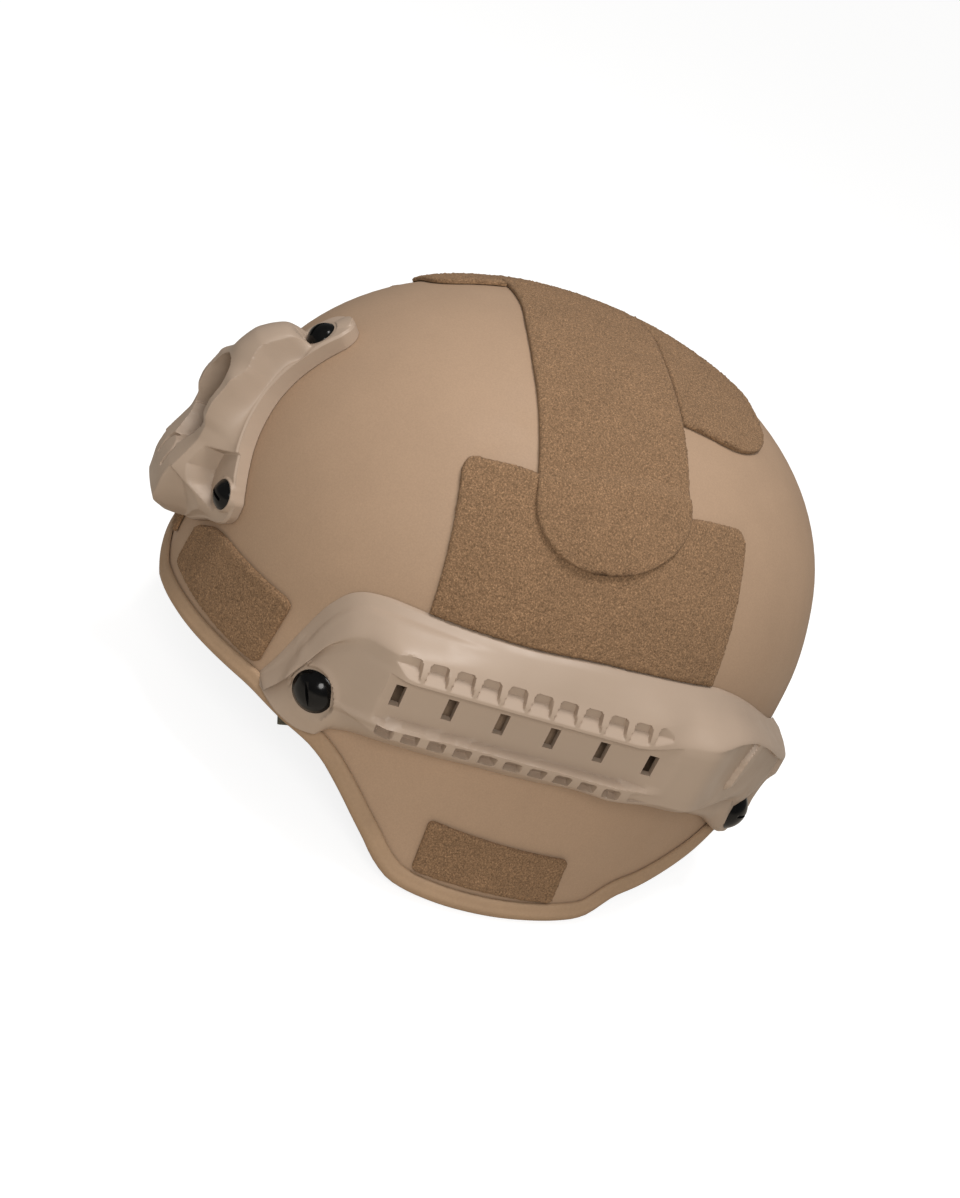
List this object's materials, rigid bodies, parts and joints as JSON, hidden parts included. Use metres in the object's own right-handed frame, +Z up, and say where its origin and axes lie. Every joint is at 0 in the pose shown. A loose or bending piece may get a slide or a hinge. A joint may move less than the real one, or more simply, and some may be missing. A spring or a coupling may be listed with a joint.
{
  "type": "combat helmet",
  "caption": "Helmet shell with ear covers, side accessory rails, brow mount shroud, loop fastener patches, inner pads and a four point chin strap.",
  "frame": {"origin": "middle of the bounding box in x and y, at the level the ear covers stand on", "axes": "+Z up through the crown, -Y out of the brow, +X towards the wearer's left"},
  "size_m": [0.277, 0.299, 0.1997],
  "materials": {
    "shell_paint": "satin, fine grain",
    "trim_rubber": "matt",
    "moulded_plastic": "satin moulded",
    "black_screw": "gloss black",
    "nut_steel": "plated",
    "loop_fastener": "napped loop",
    "hook_fastener": "hook side",
    "pad_cloth": "brushed cloth",
    "webbing": "woven",
    "buckle_plastic": "moulded"
  },
  "bodies": {
    "helmet": {"shell": "shell_paint", "edge_trim": "trim_rubber", "brow_shroud": "moulded_plastic", "shroud_screws": "black_screw", "shroud_nuts": "nut_steel", "left_rail": "moulded_plastic", "right_rail": "moulded_plastic", "rail_screws": "black_screw", "rail_nuts": "nut_steel", "crown_loop": "loop_fastener", "crown_rear_loop": "loop_fastener", "crown_right_loop": "loop_fastener", "left_side_loop": "loop_fastener", "right_side_loop": "loop_fastener", "left_ear_loop": "loop_fastener", "right_ear_loop": "loop_fastener", "left_brow_loop": "loop_fastener", "right_brow_loop": "loop_fastener", "hook_squares": "hook_fastener", "crown_pad": "pad_cloth", "brow_pad": "pad_cloth", "nape_pad": "pad_cloth", "left_front_pad": "pad_cloth", "right_front_pad": "pad_cloth", "left_rear_pad": "pad_cloth", "right_rear_pad": "pad_cloth", "left_side_straps": "webbing", "right_side_straps": "webbing", "nape_strap": "webbing", "neck_cushion": "pad_cloth", "left_chin_strap": "webbing", "right_chin_strap": "webbing", "buckle_socket": "buckle_plastic"},
    "front_left_tab": {"front_left_tab": "buckle_plastic"},
    "front_right_tab": {"front_right_tab": "buckle_plastic"},
    "rear_left_tab": {"rear_left_tab": "buckle_plastic"},
    "rear_right_tab": {"rear_right_tab": "buckle_plastic"},
    "buckle_plug": {"buckle_plug": "buckle_plastic"},
    "chin_cup": {"chin_cup": "pad_cloth"},
    "left_slider": {"left_slider": "buckle_plastic"},
    "right_slider": {"right_slider": "buckle_plastic"}
  },
  "joints": [
    {"name": "front_left_tab_turn", "type": "hinge", "parent": "helmet", "child": "front_left_tab", "pos_m": [0.09134, -0.08454, 0.067], "axis": [0.7729, -0.6321, 0.0563], "range_deg": [-20, 20]},
    {"name": "front_right_tab_turn", "type": "hinge", "parent": "helmet", "child": "front_right_tab", "pos_m": [-0.09134, -0.08454, 0.067], "axis": [-0.7729, -0.6321, 0.0563], "range_deg": [-20, 20]},
    {"name": "rear_left_tab_turn", "type": "hinge", "parent": "helmet", "child": "rear_left_tab", "pos_m": [0.09194, 0.10043, 0.0465], "axis": [0.7774, 0.6202, 0.1047], "range_deg": [-20, 20]},
    {"name": "rear_right_tab_turn", "type": "hinge", "parent": "helmet", "child": "rear_right_tab", "pos_m": [-0.09194, 0.10043, 0.0465], "axis": [-0.7774, 0.6202, 0.1047], "range_deg": [-20, 20]},
    {"name": "buckle_release", "type": "slide", "parent": "helmet", "child": "buckle_plug", "axis": [-1, 0, 0], "range_m": [0, 0.017]},
    {"name": "chin_cup_slide", "type": "slide", "parent": "helmet", "child": "chin_cup", "axis": [1, 0, 0], "range_m": [-0.005, 0.002]},
    {"name": "left_slider_slide", "type": "slide", "parent": "helmet", "child": "left_slider", "axis": [1, 0, 0], "range_m": [-0.005, 0.002]},
    {"name": "right_slider_slide", "type": "slide", "parent": "helmet", "child": "right_slider", "axis": [-1, 0, 0], "range_m": [-0.001, 0.002]}
  ]
}
